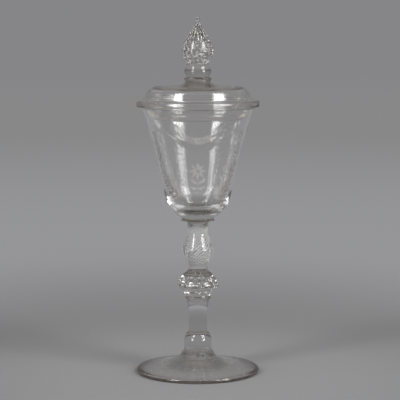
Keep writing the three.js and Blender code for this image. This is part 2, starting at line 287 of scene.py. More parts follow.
def finished(name, mesh, materials, body, nodes=()):
    """Makes an object of a mesh, and says what it rides on, replaces and is finished in."""
    mesh.normal_update()
    for edge in mesh.edges:
        faces = edge.link_faces
        if len(faces) == 2 and (faces[0].material_index == SEAM) != (faces[1].material_index == SEAM):
            edge.smooth = False
    data = bpy.data.meshes.new(name)
    mesh.to_mesh(data)
    mesh.free()
    for material in materials:
        data.materials.append(material)
    piece = bpy.data.objects.new(name, data)
    bpy.context.scene.collection.objects.link(piece)
    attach(piece, body)
    if nodes:
        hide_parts(*nodes)


def plain_gather(node, side, glass, body=GOBLET):
    """Makes the piece that is one solid gather of glass, with no air in it."""
    finished(f"{node}_glass", gather(side), glass, body, [node])


# Nodes


def add_node(tree, kind, settings=None, links=None):
    """Adds a node, sets its properties and sockets, and links its sockets to earlier outputs."""
    node = tree.nodes.new(kind)
    for key, value in (settings or {}).items():
        if key in node.inputs:
            node.inputs[key].default_value = value
        else:
            setattr(node, key, value)
    for key, output in (links or {}).items():
        tree.links.new(output, node.inputs[key])
    return node


def blank_material(name):
    """A material with no nodes, and its tree."""
    material = bpy.data.materials.get(name) or bpy.data.materials.new(name)
    material.use_nodes = True
    material.node_tree.nodes.clear()
    return material, material.node_tree


def grain(tree, width, detail, roughness):
    """Noise over a piece, whose grains are a width across, in millimetres."""
    place = add_node(tree, "ShaderNodeTexCoord")
    settings = {"Scale": 1 / (width * MM), "Detail": detail, "Roughness": roughness}
    links = {"Vector": place.outputs["Object"]}
    return add_node(tree, "ShaderNodeTexNoise", settings, links).outputs["Fac"]


def ranged(tree, value, given, wanted, how="LINEAR"):
    """A value moved from a given range to a wanted one."""
    settings = {
        "interpolation_type": how,
        "From Min": given[0],
        "From Max": given[1],
        "To Min": wanted[0],
        "To Max": wanted[1],
    }
    return add_node(tree, "ShaderNodeMapRange", settings, {"Value": value}).outputs["Result"]


def joined(tree, how, first, second=1.0, clamp=True):
    """One step of arithmetic on an output, with another output or a number."""
    node = add_node(tree, "ShaderNodeMath", {"operation": how, "use_clamp": clamp})
    tree.links.new(first, node.inputs[0])
    if isinstance(second, float):
        node.inputs[1].default_value = second
    else:
        tree.links.new(second, node.inputs[1])
    return node.outputs["Value"]


def multiplied(tree, first, second):
    """Two colours multiplied."""
    settings = {"blend_type": "MULTIPLY", "Fac": 1.0}
    links = {"Color1": first, "Color2": second}
    return add_node(tree, "ShaderNodeMixRGB", settings, links).outputs["Color"]


def mixed(tree, share, first, second):
    """Two shaders mixed, with a share of the second."""
    node = add_node(tree, "ShaderNodeMixShader", links={"Fac": share})
    tree.links.new(first, node.inputs[1])
    tree.links.new(second, node.inputs[2])
    return node.outputs["Shader"]


def ramp(tree, value, stops, how="LINEAR"):
    """A colour that changes with a value. Each stop is a value and a hex code."""
    node = add_node(tree, "ShaderNodeValToRGB", links={"Fac": value})
    node.color_ramp.interpolation = how
    elements = node.color_ramp.elements
    while len(elements) < len(stops):
        elements.new(1.0)
    for element, (where, code) in zip(elements, stops):
        element.position = where
        element.color = linear(code)
    return node.outputs["Color"]


def tones(tree, distance, stops):
    """A colour that changes with a distance. Each stop is a distance and a hex code."""
    far = stops[-1][0]
    share = joined(tree, "DIVIDE", distance, far, clamp=False)
    return ramp(tree, share, [(where / far, code) for where, code in stops], "EASE")


def put_out(tree, surface, colour=None):
    """Links a surface to the material's output, and the tint of the glass behind it, if any."""
    ends = {"Surface": surface}
    if colour is not None:
        ends["Volume"] = tint_by_depth(tree, colour)
    add_node(tree, "ShaderNodeOutputMaterial", links=ends)


def tint_by_depth(tree, colour):
    """A volume in which light turns to a colour by the time it has crossed TINT_DEPTH of glass."""
    taken = [-math.log(max(channel, 0.01)) / (TINT_DEPTH * MM) for channel in colour[:3]]
    density = max(*taken, TINY)
    left = [1 - share / density for share in taken]
    settings = {"Color": (*left, 1.0), "Density": density}
    return add_node(tree, "ShaderNodeVolumeAbsorption", settings).outputs["Volume"]


# Materials


def clear_glass(tree, skin, colour, links):
    """Puts out clear glass with a skin tone, and with a colour where it is thick."""
    settings = {"Base Color": skin, "IOR": GLASS_IOR, "Transmission Weight": 1.0}
    glass = add_node(tree, "ShaderNodeBsdfPrincipled", settings, links)
    put_out(tree, glass.outputs["BSDF"], colour)


def blown_glass(name, colour, waves, depth, smear=0.02, skin=WHITE):
    """Hand-blown potash glass, fire-polished. It bends light strongly and shows its edges, it is a
    little smoky where it is thick, and its skin rolls where the tools touched it. Waves is the
    width of the rolls and depth their height, in millimetres; smear is the roughness that handling
    leaves, and skin the tone that the surface itself gives to what shows through it.
    """
    material, tree = blank_material(name)
    rolls = grain(tree, waves, 2.0, 0.45)
    handled = grain(tree, 22, 4.0, 0.6)
    dull = ranged(tree, handled, (0.45, 0.75), (0.0, smear))
    bump = add_node(tree, "ShaderNodeBump", {"Strength": 1.0, "Distance": depth * MM}, {"Height": rolls})
    clear_glass(tree, skin, colour, {"Roughness": dull, "Normal": bump.outputs["Normal"]})
    return material


def tooled_glass(name, colour):
    """Glass nipped and turned with iron tools while it was hot, as at a collar. Its skin is
    creased, so what shows through it breaks up into specks of light and dark.
    """
    return blown_glass(name, colour, waves=2.2, depth=1.8, smear=0.04)


def worn_glass(name, colour, roughness, skin):
    """The underside of the foot, rubbed dull by years of standing: it still lets the light
    through, and spreads it. Skin is the tone that handling has left on it.
    """
    material, tree = blank_material(name)
    scuffs = grain(tree, 9, 3.0, 0.6)
    rubbed = ranged(tree, scuffs, (0.3, 0.7), (roughness * 0.8, roughness * 1.2))
    clear_glass(tree, skin, colour, {"Roughness": rubbed})
    return material


def standing_ring(name):
    """The ring that the foot stands on, ground dull, and given a dark colour that paints the shade under
    the foot's rim. Through the rim it shows as a dark line.
    """
    material, tree = blank_material(name)
    painted_shade = ramp(tree, grain(tree, 2.5, 3.0, 0.6), ((0.35, "#3a2c26"), (0.7, "#6b5a52")))
    settings = {"Roughness": 0.6, "IOR": GLASS_IOR}
    ground = add_node(tree, "ShaderNodeBsdfPrincipled", settings, {"Base Color": painted_shade})
    put_out(tree, ground.outputs["BSDF"])
    return material


def air_skin(name, clear):
    """The skin of a thread or a bead of air inside the glass. The share it does not let through is white
    and diffuse: a painted sheen for the light that air turns back when it meets it at a slant, so it shows
    silvery against the clear glass. Clear is the share it lets through.
    """
    material, tree = blank_material(name)
    settings = {"Base Color": WHITE, "Roughness": 0.06, "IOR": GLASS_IOR, "Transmission Weight": clear}
    skin = add_node(tree, "ShaderNodeBsdfPrincipled", settings)
    put_out(tree, skin.outputs["BSDF"])
    return material


def fused_seam(name, colour):
    """Where two gathers are fused the glass is one, so nothing of the seam shows."""
    material, tree = blank_material(name)
    clear = add_node(tree, "ShaderNodeBsdfTransparent", {"Color": WHITE})
    put_out(tree, clear.outputs["BSDF"], colour)
    return material


def matt_cut(name, colour, least, most):
    """Glass cut with a copper wheel and left matt. It scatters light, and reads as a grey veil on
    the clear wall, thin where the wheel only skimmed it. Least and most say how much it hides.
    """
    material, tree = blank_material(name)
    hides = ranged(tree, grain(tree, 1.6, 3.0, 0.7), (0.35, 0.65), (least, most))
    settings = {"Base Color": colour, "Roughness": 0.75}
    matt = add_node(tree, "ShaderNodeBsdfPrincipled", settings, {"Alpha": hides})
    put_out(tree, matt.outputs["BSDF"])
    return material


def foot_glass():
    """Clear glass, its seam, the dulled underside, the ring it stands on, which carries painted shade, and
    the rim, whose darker skin is painted shade.
    """
    colour = glass_settings().foot
    return [
        blown_glass("foot_potash_glass", colour, waves=14, depth=0.06),
        fused_seam("foot_seam", colour),
        worn_glass("foot_worn_underside", colour, roughness=0.3, skin=linear("#fff8f3")),
        standing_ring("foot_standing_ring_painted_shade"),
        # The rim's darker skin is painted shade on all that shows through the rim
        blown_glass("foot_rim_glass", colour, waves=14, depth=0.06, skin=linear("#a08c82")),
    ]


def stem_glass():
    """Clear glass, its seam, and the air in it: threads that veil the glass, and clearer beads."""
    colour = glass_settings().stem
    return [
        blown_glass("stem_potash_glass", colour, waves=7, depth=0.03),
        fused_seam("stem_seam", colour),
        air_skin("stem_air_thread", 0.6),
        air_skin("stem_air_bead", 0.95),
    ]


def collar_glass():
    """Creased glass and its seam."""
    colour = glass_settings().stem
    return [tooled_glass("collar_potash_glass", colour), fused_seam("collar_seam", colour)]


def bowl_glass():
    """Clear glass, the most uneven of all because it was blown widest, and its seam."""
    colour = glass_settings().bowl
    glass = blown_glass("bowl_potash_glass", colour, waves=11, depth=0.14)
    return [glass, fused_seam("bowl_seam", colour)]


def cover_glass():
    """Glass a little smokier than the bowl's, with long rolls from its turning, and its seam."""
    colour = glass_settings().cover
    glass = blown_glass("cover_potash_glass", colour, waves=16, depth=0.06)
    return [glass, fused_seam("cover_seam", colour)]


def finial_glass():
    """Glass with a grey skin, its seam, and the air in it: tears, beads, and the whitest beads."""
    colour = glass_settings().stem
    return [
        blown_glass("finial_potash_glass", colour, waves=7, depth=0.03, skin=linear("#ebeae8")),
        fused_seam("finial_seam", colour),
        air_skin("finial_air_thread", 0.64),
        air_skin("finial_air_bead", 0.82),
        air_skin("finial_silvery_bead", 0.3),
    ]


# Settings


class GobletGlassSettings(bpy.types.PropertyGroup):
    """Colours of the glass in each part."""

    foot: FloatVectorProperty(
        name="Foot",
        description="Colour of the foot's glass",
        subtype="COLOR",
        size=4,
        default=linear("#fbfbfb"),
    )
    stem: FloatVectorProperty(
        name="Stem",
        description="Colour of the stem's glass",
        subtype="COLOR",
        size=4,
        default=linear("#f9f8f6"),
    )
    bowl: FloatVectorProperty(
        name="Bowl",
        description="Colour of the bowl's glass",
        subtype="COLOR",
        size=4,
        default=linear("#f8f8f7"),
    )
    cover: FloatVectorProperty(
        name="Cover",
        description="Colour of the cover's glass",
        subtype="COLOR",
        size=4,
        default=linear("#f5f1eb"),
    )


class GobletWorkSettings(bpy.types.PropertyGroup):
    """Counts and sizes of the worked details."""

    knop_beads: IntProperty(name="Knop beads", description="Air beads in a row of the knop", default=12)
    threads: IntProperty(name="Threads", description="Threads twisted in the baluster", default=22)
    thread_turn: FloatProperty(
        name="Thread turn",
        description="How far a thread winds from foot to head of the baluster",
        subtype="ANGLE",
        default=math.radians(240),
    )
    thread_reach: FloatProperty(
        name="Thread thickness",
        description="Half the thickness of a thread",
        unit="LENGTH",
        default=0.65 * MM,
    )
    bud_tears: IntProperty(name="Tears", description="Drawn tears in the finial's bud", default=14)


class GobletStageSettings(bpy.types.PropertyGroup):
    """The camera's place and lens."""

    focal: FloatProperty(
        name="Focal length",
        description="Lens of the camera, in millimetres",
        default=149.4,
    )
    distance: FloatProperty(
        name="Distance",
        description="From the goblet's axis to the camera along the floor",
        unit="LENGTH",
        default=1.467,
    )
    height: FloatProperty(
        name="Camera height",
        description="Height of the camera over the floor",
        unit="LENGTH",
        default=0.3245,
    )
    tilt: FloatProperty(
        name="Tilt",
        description="How far the camera looks down",
        subtype="ANGLE",
        default=math.radians(6.6),
    )


def glass_settings():
    """The scene's glass colours."""
    return bpy.context.scene.goblet_glass


def work_settings():
    """The scene's worked details."""
    return bpy.context.scene.goblet_work


# Radii where the pieces are fused
FOOT_SEAT = 21.0
FOOT_COLLAR_HEAD = 11.9
COLUMN_BASE = 8.4
COLUMN_HEAD = 11.0
KNOP_BASE = 11.2
KNOP_HEAD = 12.8
BALUSTER_BASE = 8.8
BALUSTER_HEAD = 9.5
BOWL_SEAT = 13.8
COVER_SEAT = 13.5
FINIAL_KNOP_BASE = 9.9
BUD_BASE = 9.4

# The bowl: its radius at the rim, its wall, and where its cup turns into its flare, as a radius
# and a height over the seat, with the slope there
BOWL_RIM = 50.2
BOWL_WALL = 2.5
BOWL_TURN = (30.5, 25)
BOWL_SLOPE = 0.235

# The cover: how high its top stands over the bowl's rim, the wall of its gallery and the
# rounding of that wall's edge
COVER_RISE = 20.75
GALLERY_WALL = 2.2
GALLERY_EDGE = 0.6

# Rows of air beads in the bud
BUD_ROWS = 6
BUD_FIRST_ROW = 3.2
BUD_ROW_STEP = 3.2
BUD_ROW_BEADS = 14
BUD_BEAD = 1.45


def bowl_side():
    """The bowl's outside from its seat to its rim."""
    low, high = span("bowl")
    turn = (BOWL_TURN[0], low + BOWL_TURN[1])
    swell = (turn[0] - 3.5 * BOWL_SLOPE, turn[1] - 3.5)
    cup = bezier((BOWL_SEAT, low), (27.3, low + 7), swell, turn, 24)
    rise = (turn[0] + 44 * BOWL_SLOPE, turn[1] + 44)
    rim = (BOWL_RIM, high - 0.5)
    flare = bezier(turn, rise, (BOWL_RIM - 16 * 0.34, high - 16), rim, 60)
    return cup + flare[1:]


class GOBLET_OT_foot(bpy.types.Operator):
    """Build the foot"""

    bl_idname = "goblet.foot"
    bl_label = "Foot"

    def execute(self, context):
        low, high = span("foot")
        wear_in, wear_out = 50.5, 53.0
        scar = quadratic((0, low + 6.3), (4.25, low + 6.3), (8.5, low + 7.5), 8)
        kick = quadratic((8.5, low + 7.5), (28.5, low + 7.5), (wear_in, low + 0.25), 40)
        ring = [(wear_in + 0.5, low), (wear_out - 0.3, low)]
        rim = arc((wear_out, low + 2), (2, 2), -80, 85, 20)
        slope = quadratic(rim[-1], (34, low + 6.4), (FOOT_SEAT, high), 48)
        outline = scar + kick[1:] + ring + rim + slope[1:] + [(0.0, high)]
        worn, ground, dark = len(scar) + len(kick) - 2, 6, 10
        skins = [UNDERSIDE] * worn + [STANDING_RING] * ground + [DARK_RIM] * dark
        mesh = turned(outline, (len(outline) - 2,), skins)
        finished("foot_glass", mesh, foot_glass(), GOBLET, ["foot"])
        return {"FINISHED"}


class GOBLET_OT_lower_stem(bpy.types.Operator):
    """Build the collar, the knop and the column over the foot"""

    bl_idname = "goblet.lower_stem"
    bl_label = "Lower Stem"

    def execute(self, context):
        glass = stem_glass()
        low, high = span("foot_collar")
        spread = [(FOOT_SEAT, low), (17, low + 1.6), (15.5, low + 3.6)]
        collar = spline([*spread, (14, high - 1.5), (FOOT_COLLAR_HEAD, high)], 10)
        plain_gather("foot_collar", collar, collar_glass())

        low, high = span("base_knop")
        swell = [(FOOT_COLLAR_HEAD, low), (12.35, low + 2.8), (12.35, high - 6.5)]
        knop = spline([*swell, (10.5, high - 1.6), (COLUMN_BASE, high)], 12)
        plain_gather("base_knop", knop, glass)

        low, high = span("stem_column")
        column = bezier((COLUMN_BASE, low), (8.4, low + 14), (8.3, high - 2.5), (COLUMN_HEAD, high), 48)
        plain_gather("stem_column", column, glass)

        low, high = span("column_collar")
        edge, middle = 11.7, (low + high) / 2
        disc = quadratic((COLUMN_HEAD, low), (edge, low), (edge, middle), 8)
        disc += quadratic((edge, middle), (edge, high), (KNOP_BASE, high), 8)[1:]
        plain_gather("column_collar", disc, glass)
        return {"FINISHED"}


class GOBLET_OT_ring_knop(bpy.types.Operator):
    """Build the ring knop with its air beads"""

    bl_idname = "goblet.ring_knop"
    bl_label = "Ring Knop"

    def execute(self, context):
        low, high = span("beaded_knop_casing")
        ring = high - 7.7
        below = [(KNOP_BASE, low), (13.6, low + 5), (17.8, high - 10.6)]
        side = spline([*below, (18.65, ring), (17.2, high - 3.6), (KNOP_HEAD, high)], 12)
        mesh = gather(side)
        count = work_settings().knop_beads
        upper = (15.2, ring + 0.3)
        lower = (radius_on(side, ring - 5.2) - 2.8, ring - 5.2)
        for centre, radii, start in ((upper, (2.1, 1.8, 1.9), 0.2), (lower, (1.8, 1.3, 2.2), 0.7)):
            for i in range(count):
                bubble(mesh, centre, radii, 2 * math.pi * (i + start) / count)
        nodes = ["beaded_knop_core", "beaded_knop_casing"]
        finished("beaded_knop_glass", mesh, stem_glass(), GOBLET, nodes)
        return {"FINISHED"}


class GOBLET_OT_baluster(bpy.types.Operator):
    """Build the baluster with its twisted threads, and the collars at its ends"""

    bl_idname = "goblet.baluster"
    bl_label = "Baluster"

    def execute(self, context):
        glass = stem_glass()
        low, high = span("baluster_collar")
        shoulder = [(KNOP_HEAD, low), (13.4, low + 0.9), (10.9, high - 1.9), (BALUSTER_BASE, high)]
        plain_gather("baluster_collar", spline(shoulder, 8), glass)

        low, high = span("baluster_casing")
        swell = [(BALUSTER_BASE, low), (9.1, low + 5.4), (12.4, low + 13.4), (13.8, low + 18.7)]
        neck = [(11.4, high - 16.9), (9, high - 9.75), (BALUSTER_HEAD, high)]
        side = spline(swell + neck, 12)
        mesh = gather(side)
        self.threads(mesh, side, low, high)
        nodes = ["baluster_core", "baluster_casing"]
        finished("baluster_glass", mesh, glass, GOBLET, nodes)

        low, high = span("bowl_collar")
        edge = (15.3, low + 2.1)
        disc = quadratic((BALUSTER_HEAD, low), (11.5, low + 1.3), edge, 10)
        disc += quadratic(edge, (14.6, low + 2.7), (BOWL_SEAT, high), 8)[1:]
        plain_gather("bowl_collar", disc, glass)
        return {"FINISHED"}

    def threads(self, mesh, side, low, high):
        """Threads of air wound up the baluster under its skin, with uneven upper ends."""
        under_skin = 1.7
        work = work_settings()
        chance = random.Random(SEED)
        for i in range(work.threads):
            end = high + chance.uniform(-2.5, 0)
            path = [(radius - under_skin, height) for radius, height in side if low + 1 <= height <= end]
            share = (path[-1][1] - path[0][1]) / (high - low)
            start = 2 * math.pi * i / work.threads
            thread(mesh, path, start, work.thread_turn * share, work.thread_reach / MM)


class GOBLET_OT_bowl(bpy.types.Operator):
    """Build the bowl"""

    bl_idname = "goblet.bowl"
    bl_label = "Bowl"

    def execute(self, context):
        low, high = span("bowl")
        outside = bowl_side()
        turn = low + BOWL_TURN[1]
        bore = BOWL_TURN[0] - BOWL_WALL
        floor = low + 8
        lip = arc((BOWL_RIM - BOWL_WALL / 2, high - 0.6), (BOWL_WALL / 2, 0.6), 0, 180, 10)
        inside = [(radius - BOWL_WALL, height) for radius, height in outside if height >= turn]
        well = bezier((bore, turn), (bore - 3.6, low + 11), (bore - 11, floor), (0, floor), 40)
        outline = [(0.0, low)] + outside[:-1] + lip + inside[::-1][1:] + well[1:]
        mesh = turned(outline, seams=(0,))
        finished("bowl_glass", mesh, bowl_glass(), GOBLET, ["bowl"])
        return {"FINISHED"}


class GOBLET_OT_cover(bpy.types.Operator):
    """Build the cover with its flange and gallery"""

    bl_idname = "goblet.cover"
    bl_label = "Cover"

    def execute(self, context):
        low, high = span("cover")
        seat = high - COVER_RISE
        foot, head = 41.5, 45.5
        start = (foot - GALLERY_EDGE, low)
        outline = [start, (foot, low + GALLERY_EDGE), (head, seat - 0.3), (head + 0.4, seat)]
        outline += arc((53.2, seat + 1.3), (1.5, 1.3), -90, 0, 8)
        outline += arc((53.2, seat + 4.9), (1.7, 1.3), 0, 90, 8)
        outline += quadratic((50.9, seat + 6.2), (47.6, seat + 6.2), (47.1, seat + 8.8), 10)
        shoulder = (36.6, seat + 18.3)
        outline += quadratic((45.6, seat + 13), (44.7, seat + 16.7), shoulder, 16)
        outline += quadratic(shoulder, (24, seat + 19.5), (COVER_SEAT, high), 24)[1:]
        outline += [(0.0, high)]
        seams = (len(outline) - 2,)
        haunch = (42.6, seat + 11)
        inner = [(0.0, seat + 15.6)]
        inner += quadratic((37, seat + 15.3), (42.6, seat + 15.3), haunch, 16)
        inner += quadratic(haunch, (44.6, seat + 6.2), (head - GALLERY_WALL, seat), 12)[1:]
        inner += [(foot - GALLERY_WALL, low + GALLERY_EDGE), (foot - GALLERY_WALL + GALLERY_EDGE, low)]
        mesh = turned(outline + inner + [start], seams)
        finished("cover_glass", mesh, cover_glass(), COVER, ["cover"])
        return {"FINISHED"}


class GOBLET_OT_finial(bpy.types.Operator):
    """Build the finial: collar, knop, and the bud with its beads and tears"""

    bl_idname = "goblet.finial"
    bl_label = "Finial"

    def execute(self, context):
        glass = finial_glass()
        low, high = span("finial_collar")
        waist = [(COVER_SEAT, low), (11, low + 1.4), (12.3, low + 3.6)]
        collar = spline([*waist, (11.6, high - 0.8), (FINIAL_KNOP_BASE, high)], 10)
        plain_gather("finial_collar", collar, collar_glass(), COVER)

        low, high = span("finial_knop")
        swell = [(FINIAL_KNOP_BASE, low), (11.3, low + 2.2), (11.9, low + 5)]
        knop = spline([*swell, (11, high - 2.4), (BUD_BASE, high)], 10)
        plain_gather("finial_knop", knop, glass, COVER)

        low, high = span("finial_bud_casing")
        widest, cone, tip = low + 11.4, high - 14.1, high - 6.5
        belly = [(BUD_BASE, low), (12.5, low + 5.7), (14.25, widest)]
        side = spline([*belly, (11.6, (widest + cone) / 2), (6.9, cone), (2.2, tip)], 12)
        point = quadratic(side[-1], (1.25, high - 4), (1.25, high - 0.6), 8)[1:]
        point += quadratic((1.25, high - 0.6), (1.25, high), (0.0, high), 6)[1:]
        mesh = turned([(0.0, low)] + side + point, seams=(0,))
        chance = random.Random(SEED)
        self.beads(mesh, side, low, chance)
        self.tears(mesh, side, low, high, chance)
        nodes = ["finial_bud_core", "finial_bud_casing"]
        finished("finial_bud_glass", mesh, glass, COVER, nodes)
        return {"FINISHED"}

    def beads(self, mesh, side, low, chance):
        """Rows of pricked beads from the bud's base to its shoulder, and two that stray between
        the rows at the front.
        """
        for row in range(BUD_ROWS):
            height = low + BUD_FIRST_ROW + BUD_ROW_STEP * row
            size = BUD_BEAD * (0.8 + 0.3 * math.sin(math.pi * row / (BUD_ROWS - 1)))
            skin = AIR_BEAD if row else SILVERY_BEAD
            for i in range(BUD_ROW_BEADS):
                turn = 2 * math.pi * (i + row % 2 / 2 + chance.uniform(-0.12, 0.12)) / BUD_ROW_BEADS
                reach = size * chance.uniform(0.8, 1.12)
                rise = height + chance.uniform(-0.35, 0.35)
                radius = radius_on(side, rise) - 0.6 - reach
                bubble(mesh, (radius, rise), (reach, reach * 0.85, reach * 1.15), turn, skin)
        for rise, inset, radii, degrees in ((8, 2.2, (1.2, 1.1, 1.3), -3), (9, 2.4, (2.2, 1.3, 1), 14)):
            centre = (radius_on(side, low + rise) - inset, low + rise)
            bubble(mesh, centre, radii, math.radians(degrees), SILVERY_BEAD)

    def tears(self, mesh, side, low, high, chance):
        """Tears drawn up towards the tip, uneven at both ends."""
        count = work_settings().bud_tears
        for i in range(count):
            start = low + 19.5 + chance.uniform(-1.5, 1.5)
            end = high - 9 + chance.uniform(-1.5, 1)
            path = [(radius * 0.8 - 0.5, height) for radius, height in side if start <= height <= end]
            turn = 2 * math.pi * (i + chance.uniform(-0.15, 0.15)) / count
            thread(mesh, path, turn, 0, 0.5, fade=2, steps=24, around=8)


# How far the edges, the valley and the back of a wheel's cut stand proud of the bowl
CUT_EDGE = 0.13
CUT_VALLEY = 0.06
CUT_BACK = 0.02


def heading(points, k):
    """The way a line goes as it reaches its point k, as an angle from straight up."""
    (x0, z0), (x1, z1) = points[k - 1], points[k]
    return math.atan2(x1 - x0, z1 - z0)


class GOBLET_OT_engraving(bpy.types.Operator):
    """Cut the bowl's ornament: branches, sprigs, a garland and a flower"""

    # A point of it is a distance round the wall from the middle of the front, and a height over
    # the floor, both in millimetres

    bl_idname = "goblet.engraving"
    bl_label = "Engraving"

    def execute(self, context):
        self.side = bowl_side()
        fine = matt_cut("wheel_cut_matt_glass", linear("#bcb8b3"), 0.03, 0.26)
        # The outer branches get a darker copy of the cut that hides more of the wall: painted shade on the
        # bowl's sides
        shaded_cut = matt_cut("shaded_wheel_cut_matt_glass", linear("#7d776f"), 0.1, 0.6)
        for name, cut, draw, *hand in (
            ("left_inner_branch_cut", fine, self.branch, -0.92),
            ("left_outer_branch_cut", shaded_cut, self.branch, -1.22),
            ("right_inner_branch_cut", fine, self.branch, 0.92),
            ("right_outer_branch_cut", shaded_cut, self.branch, 1.22),
            ("left_sprig_cut", fine, self.sprig, -1),
            ("right_sprig_cut", fine, self.sprig, 1),
            ("garland_cut", fine, self.garland),
            ("flower_cut", fine, self.flower),
        ):
            self.mesh = bmesh.new()
            draw(*hand)
            finished(name, self.mesh, [cut], GOBLET)
        return {"FINISHED"}

    def place(self, across, height, proud):
        """A point that stands proud of the bowl's front."""
        radius = radius_on(self.side, height)
        rise = radius_on(self.side, height + 0.5) - radius_on(self.side, height - 0.5)
        angle = across / radius
        out = 1 / math.hypot(1, rise)
        reach = radius + proud * out
        return Vector((reach * math.sin(angle), -reach * math.cos(angle), height - proud * rise * out)) * MM

    def stroke(self, middles, widths):
        """A wheel's cut along a line: a thin strip with a valley down its middle."""
        rows = []
        for k, (across, height) in enumerate(middles):
            before = middles[max(k - 1, 0)]
            after = middles[min(k + 1, len(middles) - 1)]
            dx, dz = after[0] - before[0], after[1] - before[1]
            size = math.hypot(dx, dz) or 1
            nx, nz = -dz / size * widths[k], dx / size * widths[k]
            corners = (
                (across + nx, height + nz, CUT_EDGE),
                (across, height, CUT_VALLEY),
                (across - nx, height - nz, CUT_EDGE),
                (across, height, CUT_BACK),
            )
            rows.append([self.mesh.verts.new(self.place(*corner)) for corner in corners])
        for low, high in zip(rows, rows[1:]):
            for i in range(4):
                k = (i + 1) % 4
                self.mesh.faces.new((low[i], high[i], high[k], low[k]))
        self.mesh.faces.new(rows[0])
        self.mesh.faces.new(rows[-1][::-1])

    def stem(self, points, width=0.2):
        """A stem of even width."""
        self.stroke(points, [width] * len(points))

    def leaf(self, root, angle, length, width, curl=0.3):
        """A pointed leaf from its root, curling as it grows."""
        middles, widths = [], []
        steps = 7
        x, z = root
        for k in range(steps + 1):
            t = k / steps
            middles.append((x, z))
            widths.append(max(0.04, width / 2 * math.sin(math.pi * min(1, t**0.8)) ** 0.8))
            bend = angle + curl * (t - 0.3)
            x += math.sin(bend) * length / steps
            z += math.cos(bend) * length / steps
        self.stroke(middles, widths)

    def branch(self, hand):
        """A leafy branch that rises beside the flower. Hand is its side and how far out it runs."""
        chance = random.Random(SEED + round(10 * hand))
        way_up = ((hand * 15, 160), (hand * 27, 168), (hand * 31, 186), (hand * 38, 215))
        points = bezier(*way_up, 44)
        self.stem(points)
        for k in range(1, len(points)):
            size = (7.4 - 2.4 * k / len(points)) * chance.uniform(0.55, 1.15)
            way = 1 if k % 2 else -1
            lean = heading(points, k) + way * chance.uniform(0.6, 1.25)
            self.leaf(points[k], lean, size, size * chance.uniform(0.25, 0.42), -way * 0.6)
        self.leaf(points[-1], 0, 4, 1.4)

    def sprig(self, hand):
        """A slender sprig between the flower and the branch."""
        chance = random.Random(SEED + 5 * hand)
        points = bezier((hand * 9, 166), (hand * 19, 172), (hand * 13, 190), (hand * 17, 209), 30)
        self.stem(points)
        for k in range(3, len(points), 3):
            for way in (-1, 1):
                lean = heading(points, k) + way * (0.8 + chance.uniform(-0.1, 0.1))
                self.leaf(points[k], lean, 5 * chance.uniform(0.8, 1.1), 1.5, -way * 0.5)
        self.blossom((points[-1][0], points[-1][1] + 2), 2.4, 6)

    def blossom(self, centre, reach, petals):
        """A round blossom: petals about a small eye."""
        for i in range(petals):
            angle = 2 * math.pi * i / petals
            root = (centre[0] + math.sin(angle) * reach * 0.25, centre[1] + math.cos(angle) * reach * 0.25)
            self.leaf(root, angle, reach * 0.8, reach * 0.36, 0.0)

    def garland(self):
        """A hanging garland of leaves and blossoms."""
        points = bezier((-19, 222), (-11, 207), (11, 207), (19, 222), 36)
        self.stem(points)
        for k in range(2, len(points) - 1, 2):
            swell = 2.6 + 1.8 * math.sin(math.pi * k / len(points))
            for way in (-1, 1):
                lean = heading(points, k) + way * 0.9
                self.leaf(points[k], lean, swell, swell * 0.4, -way * 0.4)
        ends = ((-19, 222, 2.6), (19, 222, 2.6))
        for x, z, reach in (*ends, (0, 211.2, 3.2), (-9, 213.5, 2.2), (9, 213.5, 2.2)):
            self.blossom((x, z), reach, 6)

    def flower(self):
        """An open flower on a leafy stalk, with a scroll to each side."""
        self.blossom((0, 184), 7.2, 8)
        self.blossom((0, 184), 3.6, 6)
        self.stem(bezier((0, 177), (1.5, 172), (-1.5, 168), (0, 163), 12), 0.25)
        for hand in (-1, 1):
            self.leaf((0, 173), hand * 1.0, 9, 3, -hand * 0.9)
            self.leaf((0, 168.5), hand * 1.35, 8, 2.4, -hand * 1.1)
            scroll = bezier((0, 165), (hand * 7, 163), (hand * 13, 168), (hand * 10, 173.5), 14)
            self.stem(scroll, 0.25)


# The floor's radius in metres, and the points round it
FLOOR_RADIUS = 60
FLOOR_SIDES = 96
# Greys of the floor at distances from the goblet's axis, in metres. They hold painted shade, darkest at
# 0.25 m, and a painted pool of light at 0.75 m
FLOOR_TONES = ((0.1, "#838384"), (0.25, "#7c7c7d"), (0.75, "#969698"), (3.0, "#888889"), (8.0, "#868688"))
# How much of the floor takes light and shadow at such distances. The rest shows as evenly lit
FLOOR_MATT = ((0.4, "#ffffff"), (0.9, "#000000"))
# Painted shadow of the foot's rim: what is left of the paper's light under the foot, at such distances,
# where the glass shows the paper
RIM_SHADE = (
    (0.0, "#ffffff"),
    (0.044, "#ffffff"),
    (0.052, "#c4b8b2"),
    (0.0575, "#7d6c64"),
    (0.061, "#ffffff"),
)
# What is left of the floor's grey to the sides, where glass looks past the paper's edges
SIDE_TONES = ((0.8, "#ffffff"), (2.4, "#b8b6b4"))

# The strength of the light from all round
WORLD_LIGHT = 0.54
# What shows of it: the far floor's grey, then the grey overhead, each with the rise it starts at
SKY_TONES = ((0.2, FLOOR_TONES[-1][1]), (0.75, "#8c8986"))
# How far to the side what glass sees starts to dim and is dimmest, and how bright it is there
SIDE_FADE = (0.6, 0.95)
SIDE_LEFT = 0.68

# The softboxes: side, angle from the camera in degrees, and width in metres
LAMP_SIDES = (("left", -46, 0.95), ("right", 52, 1.42))
# The parts that each is stacked from: place, angle over the floor, height and radiance
LAMP_PARTS = (("low", 8, 0.74, 10), ("middle", 22, 0.46, 3.5), ("high", 37, 0.85, 9))
# The softboxes' distance from the point they face, and the height of that point, in metres
LAMP_DISTANCE = 2.4
LAMP_AIM = 0.17
